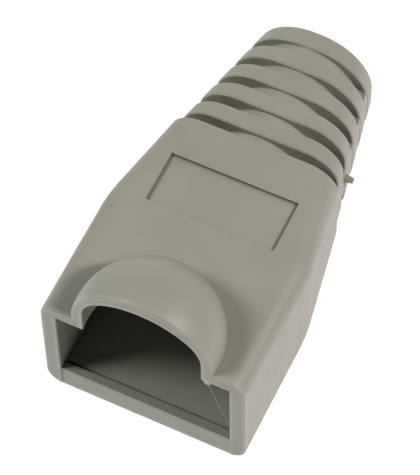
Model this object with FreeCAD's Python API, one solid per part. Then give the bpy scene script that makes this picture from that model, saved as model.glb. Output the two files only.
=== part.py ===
import FreeCAD, Part
import math
import os

# Strain relief boot for an eight-contact modular plug, moulded in one piece of
# soft PVC.  Millimetres.  The mouth faces -Y, the cable leaves along +Y, +Z is up.
# While it is built, the mouth plane is y = 0 and the underside is z = 0.  At the
# end the boot moves along Y, so that the origin is the middle of its footprint.

Vector = FreeCAD.Vector
OVERLAP = 0.5                     # how far a cutting tool runs past the face it opens
HALF = 0.5
TINY = 0.01                       # looser than rounding errors, far below any real size
ROUND_STEPS = 3                   # straight stretches that stand for a small rounding

# Plug cavity inside the housing
plug_width = 11.68                # body of the plug that the boot fits
plug_height = 6.6
plug_clearance = 0.05             # all round the plug at the mouth
side_clearance = 0.06             # extra room beside the plug
cavity_depth = 9.0
lip_height = 0.3                  # bar across the floor that holds the plug in
lip_length = 0.5
lip_setback = 0.1                 # front of the floor and lip behind the side walls
groove_length = 0.34              # narrow groove in the floor behind the lip
groove_depth = 0.3

# Housing: the square front part that slides over the plug
side_wall = 1.1
roof_wall = 1.0
floor_wall = 1.75
housing_length = 9.4              # from the mouth to where the sides start to close in
top_corner_radius = 1.2
bottom_corner_radius = 1.3
front_edge_radius = 0.2           # outer edges of the front face and the hood's rim
mouth_edge_bevel = 0.08           # inner edges of the mouth and the hood

# Shoulder: the housing closes in to the tail
shoulder_length = 7.02
shoulder_blend = 0.9              # before and behind the bend between housing and shoulder
shoulder_half_width = 5.93
shoulder_top_radius = 2.2
shoulder_bottom_radius = 2.8

# Ribbed tail
cable_axis_height = 4.85
tail_length = 9.78
tail_start_half_width = 5.72
tail_start_half_height = 4.68     # above and below the cable axis
tail_start_radius = 2.2
tail_end_half_width = 4.08
tail_end_half_height = 4.42
tail_end_radius = 3.85
tail_end_edge_radius = 0.3
rib_count = 5                     # slots, each with a rib behind it
rib_pitch = 1.9
slot_width = 0.76
rib_edge_bevel = 0.1              # front edges of the ribs
core_half_width = 3.82            # oval tube that the ribs stand on
core_half_height = 4.3
rail_start_half_height = 1.1      # strip along each side that ties the ribs together
rail_end_half_height = 1.9
rail_setback = 0.05               # rails below the outside of the ribs
bore_radius = 3.0
funnel_length = 5.0               # from the plug cavity down to the cable bore
funnel_margin = 0.4               # narrow end of the funnel beside the bore

# Hood over the plug's latch
hood_radius = 4.92
hood_centre_behind_mouth = 0.92
hood_wall = 0.8
hood_inner_shoulder_radius = 2.7
hood_inner_height = 3.95          # crown of the space under the hood, above the top face
hood_inner_upright = 0.75         # height of the upright walls inside, above the top face

# Recess for a label on the top face
label_width = 8.9
label_length = 3.8
label_depth = 0.35
label_front = 9.65                # from the mouth

# Vestige of the moulding gate on one side rail
gate_radius = 0.38
gate_height = 0.55
gate_from_mouth = 19.25

shoulder_end = housing_length + shoulder_length
total_length = shoulder_end + tail_length
cavity_half_width = plug_width * HALF + plug_clearance + side_clearance
housing_width = 2 * (cavity_half_width + side_wall)
lip_top = floor_wall + lip_height
cavity_top = lip_top + plug_height + plug_clearance
housing_height = cavity_top + roof_wall


def between(start, end, share):
    """Value a share of the way from start to end."""
    return start + (end - start) * share


def rounded_section(y, half_width, z_low, z_high, radius_low, radius_high):
    """Closed outline in the plane at y: a rectangle with round corners."""
    diagonal = math.sqrt(HALF)

    def arc(x_centre, z_centre, radius, side_x, side_z, upwards):
        flat = Vector(x_centre, y, z_centre + side_z * radius)
        middle = Vector(x_centre + side_x * radius * diagonal, y,
                        z_centre + side_z * radius * diagonal)
        upright = Vector(x_centre + side_x * radius, y, z_centre)
        ends = (flat, upright) if upwards else (upright, flat)
        return Part.Arc(ends[0], middle, ends[1])

    low_x = half_width - radius_low
    high_x = half_width - radius_high
    low_z = z_low + radius_low
    high_z = z_high - radius_high
    arcs = [
        arc(low_x, low_z, radius_low, 1, -1, True),
        arc(high_x, high_z, radius_high, 1, 1, False),
        arc(-high_x, high_z, radius_high, -1, 1, True),
        arc(-low_x, low_z, radius_low, -1, -1, False),
    ]
    edges = []
    for index, corner in enumerate(arcs):
        following = arcs[(index + 1) % len(arcs)]
        edges.append(corner.toShape())
        edges.append(Part.makeLine(corner.EndPoint, following.StartPoint))
    return Part.Wire(edges)


def rectangle(y, half_width, z_low, z_high):
    """Closed outline in the plane at y: a rectangle with sharp corners."""
    corners = [Vector(-half_width, y, z_low), Vector(half_width, y, z_low),
               Vector(half_width, y, z_high), Vector(-half_width, y, z_high)]
    return Part.makePolygon(corners + corners[:1])


def loft(*sections):
    """Straight-sided solid through the given outlines."""
    return Part.makeLoft(list(sections), True, True)


def block(x_low, x_high, y_low, y_high, z_low, z_high):
    """Box between two corners."""
    size = (x_high - x_low, y_high - y_low, z_high - z_low)
    return Part.makeBox(*size, Vector(x_low, y_low, z_low))


def soften(shape, y, radius):
    """Round the edges that lie in the plane at y."""
    rim = [edge for edge in shape.Edges
           if abs(edge.BoundBox.YMin - y) < TINY and edge.BoundBox.YLength < TINY]
    return shape.makeFillet(radius, rim)


def shoulder_share(y):
    """How far the sides have closed in at y: 0 on the housing, 1 at the shoulder's end."""
    past = y - housing_length
    if past <= -shoulder_blend:
        return 0
    if past < shoulder_blend:
        past = (past + shoulder_blend) ** 2 / (4 * shoulder_blend)
    return past / shoulder_length


def housing_section(y):
    """Outline of the housing and the shoulder."""
    share = shoulder_share(y)
    return rounded_section(
        y, between(housing_width * HALF, shoulder_half_width, share), 0, housing_height,
        between(bottom_corner_radius, shoulder_bottom_radius, share),
        between(top_corner_radius, shoulder_top_radius, share))


def make_housing():
    """Square front part that slides over the plug."""
    square = loft(housing_section(0), housing_section(housing_length - shoulder_blend))
    return soften(square, 0, front_edge_radius)


def make_shoulder():
    """The housing bends gently inwards and closes in to the tail."""
    steps = [housing_length - shoulder_blend + 2 * shoulder_blend * step / ROUND_STEPS
             for step in range(ROUND_STEPS + 1)]
    return loft(*[housing_section(y) for y in steps + [shoulder_end]])


def tail_section(y, inset=0):
    """Outline of the tapered tail."""
    share = (y - shoulder_end) / tail_length
    half_height = between(tail_start_half_height, tail_end_half_height, share) - inset
    radius = between(tail_start_radius, tail_end_radius, share) - inset
    return rounded_section(
        y, between(tail_start_half_width, tail_end_half_width, share) - inset,
        cable_axis_height - half_height, cable_axis_height + half_height, radius, radius)


def make_ribs():
    """A row of ribs with bevelled front edges; the last one is the collar at the end."""
    ribs = []
    for index in range(rib_count):
        front = shoulder_end + index * rib_pitch + slot_width
        back = shoulder_end + (index + 1) * rib_pitch
        sections = [tail_section(front, rib_edge_bevel), tail_section(front + rib_edge_bevel)]
        sections += [tail_section(back)] if index < rib_count - 1 else rounded_end()
        ribs.append(loft(*sections))
    return ribs


def rounded_end():
    """Outlines that round off the end of the tail."""
    outlines = []
    for step in range(ROUND_STEPS + 1):
        turn = math.pi * HALF * step / ROUND_STEPS
        y = total_length - tail_end_edge_radius * (1 - math.sin(turn))
        outlines.append(tail_section(y, tail_end_edge_radius * (1 - math.cos(turn))))
    return outlines


def make_core():
    """Oval tube, still solid, that carries the ribs."""
    start = shoulder_end - OVERLAP
    centre = Vector(0, start, cable_axis_height)
    oval = Part.Ellipse(centre + Vector(0, 0, core_half_height),
                        centre + Vector(core_half_width, 0, 0), centre)
    length = total_length - OVERLAP - start
    return Part.Face(Part.Wire(oval.toShape())).extrude(Vector(0, length, 0))


def make_rails():
    """Strip along each side of the tail, higher towards the tail's end."""
    def band_section(y, half_height):
        return rectangle(y, housing_width, cable_axis_height - half_height,
                         cable_axis_height + half_height)

    start = shoulder_end - OVERLAP
    end = total_length - OVERLAP
    band = loft(band_section(start, rail_start_half_height),
                band_section(end, rail_end_half_height))
    return loft(tail_section(start, rail_setback), tail_section(end, rail_setback)).common(band)


def make_cavity():
    """Room for the plug with its lip, the funnel behind it and the bore for the cable."""
    lip_end = lip_setback + lip_length
    mouth = block(-cavity_half_width, cavity_half_width, -OVERLAP, lip_end,
                  lip_top, cavity_top)
    opened_front = block(-cavity_half_width, cavity_half_width, -OVERLAP, lip_setback,
                         -OVERLAP, lip_top)
    room = block(-cavity_half_width, cavity_half_width, lip_end, cavity_depth,
                 floor_wall, cavity_top)
    groove = block(-cavity_half_width, cavity_half_width, lip_end, lip_end + groove_length,
                   floor_wall - groove_depth, cavity_top)
    bore_start = cavity_depth + funnel_length
    throat = bore_radius + funnel_margin
    funnel = loft(rectangle(cavity_depth, cavity_half_width, floor_wall, cavity_top),
                  rectangle(bore_start, throat, cable_axis_height - throat,
                            cable_axis_height + throat))
    bore = Part.makeCylinder(bore_radius, total_length - bore_start + OVERLAP,
                             Vector(0, bore_start, cable_axis_height), Vector(0, 1, 0))
    return [mouth, opened_front, room, groove, funnel, bore]


def make_hood():
    """Ball-shaped hood that covers the latch, cut off at the mouth with a rounded rim."""
    inner = hood_radius - front_edge_radius
    rim_y = front_edge_radius - hood_centre_behind_mouth
    rim_x = math.sqrt(inner ** 2 - rim_y ** 2)
    outward = math.atan2(rim_y, rim_x)
    halfway = (outward - math.pi * HALF) * HALF

    def ball_point(angle):
        return Vector(hood_radius * math.cos(angle),
                      hood_centre_behind_mouth + hood_radius * math.sin(angle), housing_height)

    def rim_point(angle):
        return Vector(rim_x + front_edge_radius * math.cos(angle),
                      front_edge_radius * (1 + math.sin(angle)), housing_height)

    front = Vector(0, 0, housing_height)
    rim_start = rim_point(-math.pi * HALF)
    ball_start = ball_point(outward)
    back = ball_point(math.pi * HALF)
    profile = Part.Wire([
        Part.makeLine(front, rim_start),
        Part.Arc(rim_start, rim_point(halfway), ball_start).toShape(),
        Part.Arc(ball_start, ball_point((outward + math.pi * HALF) * HALF), back).toShape(),
        Part.makeLine(back, front),
    ])
    ball = Part.Face(profile).revolve(front, Vector(0, 1, 0), 360)
    keep = block(-housing_width, housing_width, -OVERLAP, housing_length,
                 housing_height - OVERLAP, housing_height + 2 * hood_radius)
    return ball.common(keep)


def make_hood_space():
    """Space for the latch: upright walls, a round shoulder and a flat crown."""
    radius = hood_radius - hood_wall
    crown_z = housing_height + hood_inner_height
    shoulder = hood_inner_shoulder_radius
    spring = housing_height + hood_inner_upright
    # the crown arc starts on the axis and meets the shoulder arc without a corner
    across = radius - shoulder
    rise = crown_z - spring
    crown_radius = (across ** 2 + rise ** 2 - shoulder ** 2) / (2 * (rise - shoulder))
    crown_centre = crown_z - crown_radius
    angle = math.atan2(across, spring - crown_centre)
    join = (crown_radius * math.sin(angle), crown_centre + crown_radius * math.cos(angle))
    crown_mid = (crown_radius * math.sin(angle * HALF),
                 crown_centre + crown_radius * math.cos(angle * HALF))
    turn = (angle + math.pi * HALF) * HALF
    shoulder_mid = (across + shoulder * math.sin(turn), spring + shoulder * math.cos(turn))

    def point(pair):
        return Vector(pair[0], hood_centre_behind_mouth, pair[1])

    low = cavity_top - OVERLAP
    top, foot, floor_outer, floor_axis = (0, crown_z), (radius, spring), (radius, low), (0, low)
    profile = Part.Wire([
        Part.Arc(point(top), point(crown_mid), point(join)).toShape(),
        Part.Arc(point(join), point(shoulder_mid), point(foot)).toShape(),
        Part.makeLine(point(foot), point(floor_outer)),
        Part.makeLine(point(floor_outer), point(floor_axis)),
        Part.makeLine(point(floor_axis), point(top)),
    ])
    dome = Part.Face(profile).revolve(point(floor_axis), Vector(0, 0, 1), 360)
    return dome


def make_label_recess():
    return block(-label_width * HALF, label_width * HALF, label_front,
                 label_front + label_length, housing_height - label_depth,
                 housing_height + OVERLAP)


def make_gate():
    """Short peg where the runner was broken off."""
    share = (gate_from_mouth - shoulder_end) / tail_length
    rail_x = between(tail_start_half_width, tail_end_half_width, share)
    root = rail_x - OVERLAP
    return Part.makeCone(gate_radius, gate_radius * HALF, OVERLAP + gate_height,
                         Vector(root, gate_from_mouth, cable_axis_height), Vector(1, 0, 0))


def bevel_mouth(shape):
    """Break the inner edges of the mouth and of the hood."""
    def is_inner(edge):
        if edge.BoundBox.YMax > TINY:
            return False
        middle = edge.CenterOfMass
        beside_plug = abs(middle.x) < cavity_half_width + TINY and middle.z < cavity_top + TINY
        from_centre = math.hypot(middle.x, middle.z - housing_height)
        return beside_plug or from_centre < hood_radius - hood_wall * HALF

    return shape.makeChamfer(mouth_edge_bevel, [edge for edge in shape.Edges if is_inner(edge)])


def make_boot():
    outside = [make_shoulder(), make_core(), make_rails(), make_hood(), make_gate()]
    boot = make_housing().fuse(outside + make_ribs()).removeSplitter()
    boot = boot.cut([make_label_recess(), make_hood_space()] + make_cavity())
    boot = bevel_mouth(boot)
    boot.translate(Vector(0, -total_length * HALF, 0))
    return boot


os.makedirs("parts", exist_ok=True)
boot = make_boot()
print("valid", boot.isValid(), "solids", len(boot.Solids), "volume", round(boot.Volume, 1))
boot.exportStep("parts/boot.step")
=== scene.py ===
import math

import bpy
from mathutils import Matrix, Vector


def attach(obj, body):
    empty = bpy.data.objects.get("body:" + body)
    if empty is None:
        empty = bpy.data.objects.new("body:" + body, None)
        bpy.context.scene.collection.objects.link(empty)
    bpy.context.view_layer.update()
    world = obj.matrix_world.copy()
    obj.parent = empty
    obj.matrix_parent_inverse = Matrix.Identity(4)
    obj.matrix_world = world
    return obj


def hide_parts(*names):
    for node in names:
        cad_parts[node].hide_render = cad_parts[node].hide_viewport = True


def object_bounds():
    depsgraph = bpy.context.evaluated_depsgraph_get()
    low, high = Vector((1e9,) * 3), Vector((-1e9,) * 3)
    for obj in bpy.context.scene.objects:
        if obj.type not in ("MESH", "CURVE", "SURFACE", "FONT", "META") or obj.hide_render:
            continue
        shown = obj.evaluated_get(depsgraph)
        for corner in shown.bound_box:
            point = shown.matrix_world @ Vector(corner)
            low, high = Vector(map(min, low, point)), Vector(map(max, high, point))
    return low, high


MM = 0.001

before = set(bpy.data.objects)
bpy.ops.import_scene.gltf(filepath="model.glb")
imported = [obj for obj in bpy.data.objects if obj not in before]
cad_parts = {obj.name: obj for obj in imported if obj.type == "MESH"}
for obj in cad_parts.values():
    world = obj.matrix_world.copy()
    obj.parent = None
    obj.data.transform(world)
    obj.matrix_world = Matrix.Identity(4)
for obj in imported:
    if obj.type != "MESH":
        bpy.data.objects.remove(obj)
cad_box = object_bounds()
underside = cad_box[0][2]

# Camera: a long lens, high in front of the mouth and to the boot's right (+X)
LENS_MM = 212.2
SENSOR_MM = 36.0
CLIP_NEAR = 0.01
CLIP_FAR = 10.0
CAMERA_AZIMUTH = 26.34
CAMERA_ELEVATION = 59.37
CAMERA_ROLL = -0.87
CAMERA_DISTANCE = 178.3 * MM
CAMERA_AIM = Vector((-0.32, -2.70, 6.73)) * MM

# Lamps: name, azimuth, elevation, width in metres, watts, colour.
# Azimuth 0 is in front of the mouth, 90 on the boot's right.
LAMP_DISTANCE = 0.5
LAMPS = [
    ("left_softbox", -60, 48, 0.16, 1.30, (0.98, 1.03, 1.02)),
    ("right_softbox", 91, 47, 0.06, 1.45, (1.04, 1.05, 0.98)),
    ("right_fill", 115, 45, 0.30, 0.48, (1.00, 0.87, 0.96)),
    ("back_fill", 180, 14, 0.35, 0.22, (1.00, 1.00, 0.80)),
    ("back_left_fill", -140, 14, 0.35, 0.21, (1.00, 0.97, 0.78)),
    ("left_fill", -85, 18, 0.40, 0.36, (1.00, 1.00, 0.74)),
]

# White backdrop, and a white floor that glows, so the shadows on it almost vanish
BACKDROP_WHITE = (1, 1, 1, 1)
FLOOR_SIZE = 2.0
FLOOR_GAP = 0.02 * MM
FLOOR_GREY = (0.12, 0.12, 0.12, 1)
FLOOR_ROUGHNESS = 0.9
FLOOR_GLOW = 1.0
FLOOR_TINT = (1.04, 1.025, 1.045, 1)

# Colours of the moulding, and of the hair of flash, which is thin and painted darker as
# painted shade. In each set the edge colour is wear and a painted highlight, the inside
# colour is painted shade in the plug hollow and the crease colour is painted shade in inner
# corners.
PVC = {"dark": (0.288, 0.273, 0.234, 1), "light": (0.312, 0.297, 0.256, 1),
       "speck": (0.25, 0.235, 0.20, 1), "edge": (0.39, 0.367, 0.33, 1),
       "inside": (0.25, 0.236, 0.198, 1), "painted_crease_shade": (0.19, 0.18, 0.145, 1)}
SHADED_FLASH_PVC = {"dark": (0.24, 0.23, 0.20, 1), "light": (0.26, 0.25, 0.215, 1),
            "speck": (0.22, 0.21, 0.18, 1), "edge": (0.28, 0.27, 0.235, 1),
            "inside": (0.25, 0.24, 0.205, 1), "painted_crease_shade": (0.20, 0.19, 0.165, 1)}

# Grains of the PVC's surface: size in millimetres, and layers of finer detail
CLOUDS = (3.5, 4)
SPECKS = (0.22, 1)
GLOSS = (0.9, 3)
WAVES = (2.4, 1)
MOULD_GRAIN = (0.12, 3)

# How the grains show: a span is where an effect starts and where it is full, and
# depths are in millimetres
NOISE_SPAN = (0.3, 0.7)
SPECK_SPAN = (0.70, 0.78)
SPECK_STRENGTH = 0.5
SATIN = (0.44, 0.56)
WAVE_DEPTH = 0.035
MOULD_DEPTH = 0.004

# Outer edges made lighter, partly as wear and partly as a painted highlight, and inner
# corners darkened as painted shade, with reaches and places in millimetres.
# The lighter edges are full up to the first of the two places along the length below and
# faint behind the second.
WEAR_AND_HIGHLIGHT_REACH = 0.4
WEAR_AND_HIGHLIGHT_SPAN = (0.95, 0.62)
WEAR_AND_HIGHLIGHT_END = (-10.0, -7.0)
TAIL_WEAR_AND_HIGHLIGHT = 0.12
RUBBED_SMOOTHER = -0.14
CORNER_SHADE_REACH = 0.16
CORNER_SHADE_SPAN = (1.0, 0.1)
LABEL_SHADE_REACH = 0.32
LABEL_SHADE_SPAN = (1.0, 0.5)
CORNER_SAMPLES = 8

# Zones that no hand or cable rubs, in millimetres: axis, middle, reach to either side. The
# plug hollow is also darkened by the share below as painted shade, and the label recess gets
# wider painted shade in its corners.
PLUG_HOLLOW = [("X", 0.0, 6.0), ("Y", -8.0, 5.05), ("Z", 5.21, 3.51)]
HOLLOW_SHADE_SHARE = 0.7
RECESS_RIM = [("X", 0.0, 4.9), ("Y", -1.55, 2.35), ("Z", 9.5, 0.25)]

# Sockets of a Mix node that mixes colours: two colours in, one out
MIX_COLOURS = (6, 7)
MIX_RESULT = 2

# The moulding's mesh and the floor of its label recess
MERGE_DISTANCE = 0.002 * MM
SHARP_ANGLE = math.radians(30)
SLACK = 0.01 * MM
RECESS_HALF_WIDTH = 4.45 * MM
RECESS_FRONT = -3.45 * MM
RECESS_REAR = 0.35 * MM
RECESS_FLOOR = 9.35 * MM
RECESS_FILL = 0.1 * MM

# Flash left by the mould, in millimetres: a hair across the right corner of the
# mouth, a curl on the lip and a bead under the right foot of the hood
THREAD_SIDES = 8
HAIR_RADIUS = 0.05
HAIR_PATH = [(4.52, -13.0, 8.50), (4.88, -13.0, 7.25), (5.28, -13.0, 6.10),
             (5.68, -13.0, 4.95), (5.98, -13.0, 4.15)]
CURL_RADIUS = 0.04
CURL_PATH = [(5.35, -12.55, 2.05), (5.59, -12.63, 2.07), (5.76, -12.75, 2.07),
             (5.84, -12.86, 2.06), (5.86, -12.95, 2.02)]
BEAD_SEGMENTS = 24
BEAD_RINGS = 16
BEAD_CENTRE = (4.42, -12.94, 8.62)
BEAD_RADII = (0.30, 0.15, 0.42)
BEAD_DRIP = (0.06, 0.0, -0.06)


def direction(azimuth_deg, elevation_deg):
    """Unit vector from the boot towards the camera or a lamp."""
    azimuth = math.radians(azimuth_deg)
    elevation = math.radians(elevation_deg)
    return Vector((math.sin(azimuth) * math.cos(elevation),
                   -math.cos(azimuth) * math.cos(elevation),
                   math.sin(elevation)))


def aim(thing, back, roll_deg=0):
    """Turn a camera or a lamp so that it looks against the direction back."""
    thing.rotation_mode = "QUATERNION"
    roll = Matrix.Rotation(math.radians(roll_deg), 3, "Z").to_quaternion()
    thing.rotation_quaternion = (-back).to_track_quat("-Z", "Y") @ roll


def place_camera():
    """The camera, which looks at the middle of the boot."""
    data = bpy.data.cameras.new("camera")
    data.lens = LENS_MM
    data.sensor_width = SENSOR_MM
    data.clip_start = CLIP_NEAR
    data.clip_end = CLIP_FAR
    camera = bpy.data.objects.new("camera", data)
    bpy.context.collection.objects.link(camera)
    back = direction(CAMERA_AZIMUTH, CAMERA_ELEVATION)
    aim(camera, back, CAMERA_ROLL)
    camera.location = CAMERA_AIM + back * CAMERA_DISTANCE
    bpy.context.scene.camera = camera


def add_lamp(name, azimuth, elevation, width, watts, colour):
    """A round soft lamp that points at the boot."""
    data = bpy.data.lights.new(name, "AREA")
    data.shape = "DISK"
    data.size = width
    data.energy = watts
    data.color = colour
    lamp = bpy.data.objects.new(name, data)
    bpy.context.collection.objects.link(lamp)
    back = direction(azimuth, elevation)
    aim(lamp, back)
    lamp.location = back * LAMP_DISTANCE


def make_backdrop():
    """The white backdrop beyond the floor, which gives no light of its own."""
    world = bpy.data.worlds.new("studio")
    bpy.context.scene.world = world
    world.use_nodes = True
    tree = world.node_tree
    background = tree.nodes["Background"]
    background.inputs["Color"].default_value = BACKDROP_WHITE
    rays = tree.nodes.new("ShaderNodeLightPath")
    tree.links.new(rays.outputs["Is Camera Ray"], background.inputs["Strength"])


def deselect_all():
    """Let go of everything, because an operator acts on all that is selected."""
    bpy.ops.object.select_all(action="DESELECT")


def make_floor():
    """The plain white floor just under the boot."""
    deselect_all()
    bpy.ops.mesh.primitive_plane_add(size=FLOOR_SIZE, location=(0, 0, underside - FLOOR_GAP))
    floor = bpy.context.object
    floor.name = "floor"
    material = bpy.data.materials.new("floor_white")
    material.use_nodes = True
    shader = material.node_tree.nodes["Principled BSDF"]
    shader.inputs["Base Color"].default_value = FLOOR_GREY
    shader.inputs["Roughness"].default_value = FLOOR_ROUGHNESS
    shader.inputs["Emission Color"].default_value = FLOOR_TINT
    shader.inputs["Emission Strength"].default_value = FLOOR_GLOW
    floor.data.materials.append(material)


def soft_pvc(name, shades):
    """PVC with faint clouds and specks and a satin gloss; its edges are lighter as wear and
    painted highlight, and its inner corners and plug hollow are darker as painted shade.
    """
    material = bpy.data.materials.new(name)
    material.use_nodes = True
    nodes = material.node_tree.nodes
    links = material.node_tree.links
    shader = nodes["Principled BSDF"]
    place = nodes.new("ShaderNodeTexCoord").outputs["Object"]
    axes = nodes.new("ShaderNodeSeparateXYZ")
    links.new(place, axes.inputs["Vector"])

    def noise(grain_mm, detail):
        """Noise whose clumps are about grain_mm across."""
        node = nodes.new("ShaderNodeTexNoise")
        node.inputs["Scale"].default_value = 1 / (grain_mm * MM)
        node.inputs["Detail"].default_value = detail
        links.new(place, node.inputs["Vector"])
        return node.outputs["Fac"]

    def ramp(value, span, result=(0.0, 1.0)):
        """Carry a value's span over to the span of the result."""
        node = nodes.new("ShaderNodeMapRange")
        for socket, number in zip(("From Min", "From Max", "To Min", "To Max"),
                                  (*span, *result)):
            node.inputs[socket].default_value = number
        links.new(value, node.inputs["Value"])
        return node.outputs["Result"]

    def mix(share, first, second):
        """Mix two colours, each a plain shade or the outcome of an earlier mix."""
        node = nodes.new("ShaderNodeMix")
        node.data_type = "RGBA"
        links.new(share, node.inputs["Factor"])
        for socket, colour in zip(MIX_COLOURS, (first, second)):
            if isinstance(colour, tuple):
                node.inputs[socket].default_value = colour
            else:
                links.new(colour, node.inputs[socket])
        return node.outputs[MIX_RESULT]

    def bump(height, depth_mm, under=None):
        """Relief of the given depth, on top of an earlier relief if there is one."""
        node = nodes.new("ShaderNodeBump")
        node.inputs["Distance"].default_value = depth_mm * MM
        links.new(height, node.inputs["Height"])
        if under is not None:
            links.new(under, node.inputs["Normal"])
        return node.outputs["Normal"]

    def combine(operation, *values):
        """Arithmetic on sockets and plain numbers."""
        node = nodes.new("ShaderNodeMath")
        node.operation = operation
        for socket, value in zip(node.inputs, values):
            if isinstance(value, float):
                socket.default_value = value
            else:
                links.new(value, socket)
        return node.outputs["Value"]

    def near_corner(reach_mm, inside, span):
        """One close to an inner corner, or to an outer edge when inside is set."""
        node = nodes.new("ShaderNodeAmbientOcclusion")
        node.inputs["Distance"].default_value = reach_mm * MM
        node.inside = inside
        node.samples = CORNER_SAMPLES
        return ramp(node.outputs["AO"], span)

    def within(zone):
        """One inside a box given as axis, middle and reach."""
        along = [combine("COMPARE", axes.outputs[axis], middle * MM, reach * MM)
                 for axis, middle, reach in zone]
        return combine("MULTIPLY", combine("MULTIPLY", along[0], along[1]), along[2])

    hollow = within(PLUG_HOLLOW)
    label = within(RECESS_RIM)
    handled = combine("SUBTRACT", 1.0, combine("MAXIMUM", hollow, label))
    # Outer edges lighter, partly wear and partly a painted highlight, fading towards the
    # tail; the same mask makes them smoother
    towards_tail = ramp(axes.outputs["Y"], [edge * MM for edge in WEAR_AND_HIGHLIGHT_END], (1.0, TAIL_WEAR_AND_HIGHLIGHT))
    wear_and_highlight = combine("MULTIPLY", near_corner(WEAR_AND_HIGHLIGHT_REACH, True, WEAR_AND_HIGHLIGHT_SPAN),
                   combine("MULTIPLY", handled, towards_tail))
    # Painted shade: the base colour darkens in inner corners, more widely in the label recess
    label_corner_shade = combine("MULTIPLY", near_corner(LABEL_SHADE_REACH, False, LABEL_SHADE_SPAN),
                         label)
    painted_corner_shade = combine("MAXIMUM", near_corner(CORNER_SHADE_REACH, False, CORNER_SHADE_SPAN), label_corner_shade)

    clouded = mix(ramp(noise(*CLOUDS), NOISE_SPAN), shades["dark"], shades["light"])
    specks = ramp(noise(*SPECKS), SPECK_SPAN, (0.0, SPECK_STRENGTH))
    specked = mix(specks, clouded, shades["speck"])
    # Painted shade: the inside of the plug hollow is darker
    hollow_shaded = mix(combine("MULTIPLY", hollow, HOLLOW_SHADE_SHARE), specked, shades["inside"])
    rubbed_and_highlit = mix(wear_and_highlight, hollow_shaded, shades["edge"])
    links.new(mix(painted_corner_shade, rubbed_and_highlit, shades["painted_crease_shade"]), shader.inputs["Base Color"])

    satin = ramp(noise(*GLOSS), NOISE_SPAN, SATIN)
    links.new(combine("MULTIPLY_ADD", wear_and_highlight, RUBBED_SMOOTHER, satin),
              shader.inputs["Roughness"])

    waves = bump(noise(*WAVES), WAVE_DEPTH)
    links.new(bump(noise(*MOULD_GRAIN), MOULD_DEPTH, waves), shader.inputs["Normal"])
    return material


def select_points(piece, wanted):
    """Select a mesh's points by their place, and leave it in edit mode."""
    bpy.ops.object.mode_set(mode="EDIT")
    bpy.ops.mesh.select_mode(type="VERT")
    bpy.ops.mesh.select_all(action="DESELECT")
    bpy.ops.object.mode_set(mode="OBJECT")
    for vertex in piece.data.vertices:
        vertex.select = wanted(vertex.co)
    bpy.ops.object.mode_set(mode="EDIT")


def raise_recess_floor(boot):
    """Draw the floor of the label recess up a little, so that its walls are low."""
    def on_the_floor(spot):
        return (abs(spot.x) < RECESS_HALF_WIDTH + SLACK
                and RECESS_FRONT - SLACK < spot.y < RECESS_REAR + SLACK
                and abs(spot.z - RECESS_FLOOR) < SLACK)

    select_points(boot, on_the_floor)
    bpy.ops.transform.translate(value=(0, 0, RECESS_FILL))
    bpy.ops.object.mode_set(mode="OBJECT")


def make_boot(material):
    """The moulding: a merged copy of the solid's mesh, with even shading."""
    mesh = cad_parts["boot"].data.copy()
    boot = bpy.data.objects.new("boot_moulding", mesh)
    bpy.context.collection.objects.link(boot)
    deselect_all()
    boot.select_set(True)
    bpy.context.view_layer.objects.active = boot
    bpy.ops.mesh.customdata_custom_splitnormals_clear()
    bpy.ops.object.mode_set(mode="EDIT")
    bpy.ops.mesh.select_all(action="SELECT")
    bpy.ops.mesh.remove_doubles(threshold=MERGE_DISTANCE)
    bpy.ops.object.mode_set(mode="OBJECT")
    raise_recess_floor(boot)
    bpy.ops.object.shade_smooth_by_angle(angle=SHARP_ANGLE)
    even = boot.modifiers.new("even_shading", "WEIGHTED_NORMAL")
    even.mode = "FACE_AREA_WITH_ANGLE"
    even.keep_sharp = True
    bpy.ops.object.modifier_apply(modifier=even.name)
    mesh.materials.clear()
    mesh.materials.append(material)
    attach(boot, "root")
    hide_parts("boot")


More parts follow.
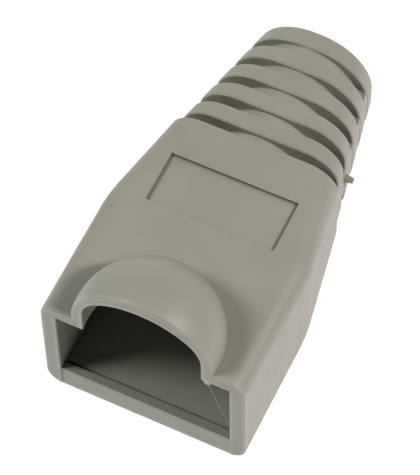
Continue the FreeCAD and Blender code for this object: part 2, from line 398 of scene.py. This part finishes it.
def finish_flash(piece, name, material):
    """Name a bit of flash, turn its faces outwards and let it ride on the boot's body."""
    piece.name = name
    bpy.ops.object.mode_set(mode="EDIT")
    bpy.ops.mesh.select_all(action="SELECT")
    bpy.ops.mesh.normals_make_consistent(inside=False)
    bpy.ops.object.mode_set(mode="OBJECT")
    bpy.ops.object.transform_apply(location=True, rotation=True, scale=True)
    bpy.ops.object.shade_smooth_by_angle(angle=SHARP_ANGLE)
    piece.data.materials.append(material)
    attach(piece, "root")


def make_foot_bead(material):
    """The bead under the right foot of the hood, drawn out towards the hair."""
    deselect_all()
    bpy.ops.mesh.primitive_uv_sphere_add(segments=BEAD_SEGMENTS, ring_count=BEAD_RINGS,
                                         radius=MM, scale=BEAD_RADII,
                                         location=Vector(BEAD_CENTRE) * MM)
    bead = bpy.context.object
    bpy.ops.object.transform_apply(location=True, rotation=True, scale=True)
    lowest = (BEAD_CENTRE[2] - BEAD_RADII[2]) * MM
    select_points(bead, lambda spot: spot.z < lowest + SLACK)
    bpy.ops.transform.translate(value=Vector(BEAD_DRIP) * MM, use_proportional_edit=True,
                                proportional_size=BEAD_RADII[2] * MM)
    bpy.ops.object.mode_set(mode="OBJECT")
    finish_flash(bead, "foot_bead", material)


def make_thread(name, path_mm, radius_mm, material):
    """A thin thread: a small disc at the path's start, drawn out along the path."""
    points = [Vector(point) * MM for point in path_mm]
    lean = (points[1] - points[0]).to_track_quat("Z", "Y").to_euler()
    deselect_all()
    bpy.ops.mesh.primitive_circle_add(vertices=THREAD_SIDES, radius=radius_mm * MM,
                                      fill_type="NGON", location=points[0], rotation=lean)
    bpy.ops.object.mode_set(mode="EDIT")
    bpy.ops.mesh.select_all(action="SELECT")
    for before, after in zip(points, points[1:]):
        bpy.ops.mesh.extrude_region_move(TRANSFORM_OT_translate={"value": after - before})
    bpy.ops.object.mode_set(mode="OBJECT")
    finish_flash(bpy.context.object, name, material)


place_camera()
make_backdrop()
make_floor()
for lamp in LAMPS:
    add_lamp(*lamp)
pvc = soft_pvc("warm_grey_pvc", PVC)
# The hair's material is a darker copy, as painted shade
shaded_flash_pvc = soft_pvc("shaded_pvc_flash", SHADED_FLASH_PVC)
make_boot(pvc)
make_foot_bead(pvc)
make_thread("flash_hair", HAIR_PATH, HAIR_RADIUS, shaded_flash_pvc)
make_thread("flash_curl", CURL_PATH, CURL_RADIUS, pvc)
bpy.context.scene.view_settings.view_transform = "Standard"
